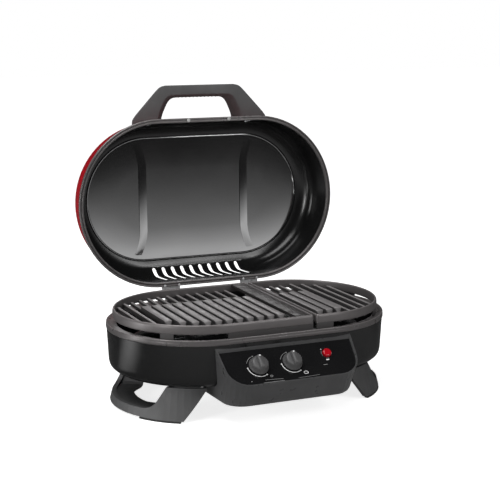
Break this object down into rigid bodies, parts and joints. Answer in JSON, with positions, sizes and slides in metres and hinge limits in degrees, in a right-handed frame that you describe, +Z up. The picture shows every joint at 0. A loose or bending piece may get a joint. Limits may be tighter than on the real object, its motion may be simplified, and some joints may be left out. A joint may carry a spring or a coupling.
{
  "type": "portable tabletop gas grill",
  "caption": "Oval tabletop gas grill with a hinged red lid and arch handle, split cast grates, a sloping control panel, burners, grease tray and loop legs.",
  "frame": {"origin": "bottom centre of the bounding box, on the table under the feet", "axes": "+Z up; X along the long side of the oval bowl, the large grate towards -X; the control panel faces -Y"},
  "size_m": [0.636, 0.5798, 0.669],
  "materials": {
    "black_paint": "satin black paint",
    "rim_enamel": "grey-brown satin enamel",
    "cast_grate": "dark enamelled cast iron",
    "red_enamel": "gloss dark red outside, gloss black inside",
    "handle_plastic": "fine grained dark grey",
    "housing_plastic": "satin dark grey",
    "knob_plastic": "satin black with a pale pointer",
    "gloss_black": "gloss black",
    "leg_plastic": "fine grained dark grey",
    "red_plastic": "gloss red",
    "brass": "machined",
    "steel": "bare",
    "zinc": "zinc plated",
    "ceramic": "unglazed insulator",
    "rubber": "matte",
    "wire_sleeve": "silicone sleeve"
  },
  "bodies": {
    "base": {"base_shell": "black_paint", "base_rim": "rim_enamel", "control_housing": "housing_plastic", "control_fascia": "gloss_black", "leg_left": "leg_plastic", "leg_right": "leg_plastic", "burner_left": "steel", "burner_right": "steel", "burner_bracket_left": "zinc", "burner_bracket_right": "zinc", "electrode_left": "ceramic", "electrode_right": "ceramic", "ignition_wire_left": "wire_sleeve", "ignition_wire_right": "wire_sleeve", "hinge_base_leaf_left": "zinc", "hinge_base_leaf_right": "zinc", "hinge_pin_left": "steel", "hinge_pin_right": "steel", "valve_left": "brass", "valve_right": "brass", "tray_rail_left": "zinc", "tray_rail_right": "zinc", "foot_pad_front_left": "rubber", "foot_pad_front_right": "rubber", "foot_pad_rear_left": "rubber", "foot_pad_rear_right": "rubber", "leg_screw_front_left": "steel", "leg_screw_front_right": "steel", "leg_screw_rear_left": "steel", "leg_screw_rear_right": "steel", "gas_manifold": "steel", "gas_inlet_fitting": "brass", "igniter_body": "housing_plastic"},
    "lid": {"lid_shell": "red_enamel", "lid_rim": "rim_enamel", "lid_handle": "handle_plastic", "handle_screw_left_1": "steel", "handle_screw_left_2": "steel", "handle_screw_right_1": "steel", "handle_screw_right_2": "steel", "lid_bumper_left": "rubber", "lid_bumper_right": "rubber", "hinge_lid_leaf_left": "zinc", "hinge_lid_leaf_right": "zinc", "hinge_screw_left_1": "steel", "hinge_screw_left_2": "steel", "hinge_screw_left_3": "steel", "hinge_screw_right_1": "steel", "hinge_screw_right_2": "steel", "hinge_screw_right_3": "steel"},
    "knob_left": {"knob_left": "knob_plastic", "valve_stem_left": "steel"},
    "knob_right": {"knob_right": "knob_plastic", "valve_stem_right": "steel"},
    "button": {"igniter_button": "red_plastic"},
    "grate_left": {"grate_left": "cast_grate"},
    "grate_right": {"grate_right": "cast_grate"},
    "tray": {"grease_tray": "steel"}
  },
  "joints": [
    {"name": "lid_hinge", "type": "hinge", "parent": "base", "child": "lid", "pos_m": [0, 0.18443, 0.1911], "axis": [-1, 0, 0], "range_deg": [-92, 0]},
    {"name": "knob_left_turn", "type": "hinge", "parent": "base", "child": "knob_left", "pos_m": [-0.0755, -0.25348, 0.12436], "axis": [0, -0.6691, 0.7431], "range_deg": [0, 210]},
    {"name": "knob_right_turn", "type": "hinge", "parent": "base", "child": "knob_right", "pos_m": [0.0015, -0.25348, 0.12436], "axis": [0, -0.6691, 0.7431], "range_deg": [0, 210]},
    {"name": "igniter_push", "type": "slide", "parent": "base", "child": "button", "axis": [0, 0.6691, -0.7431], "range_m": [0, 0.005], "stiffness_N_per_m": 500},
    {"name": "grate_left_lift", "type": "slide", "parent": "base", "child": "grate_left", "axis": [0, 0, 1], "range_m": [0, 0.12]},
    {"name": "grate_right_lift", "type": "slide", "parent": "base", "child": "grate_right", "axis": [0, 0, 1], "range_m": [0, 0.12]},
    {"name": "tray_slide", "type": "slide", "parent": "base", "child": "tray", "axis": [0, 1, 0], "range_m": [0, 0.24]}
  ]
}
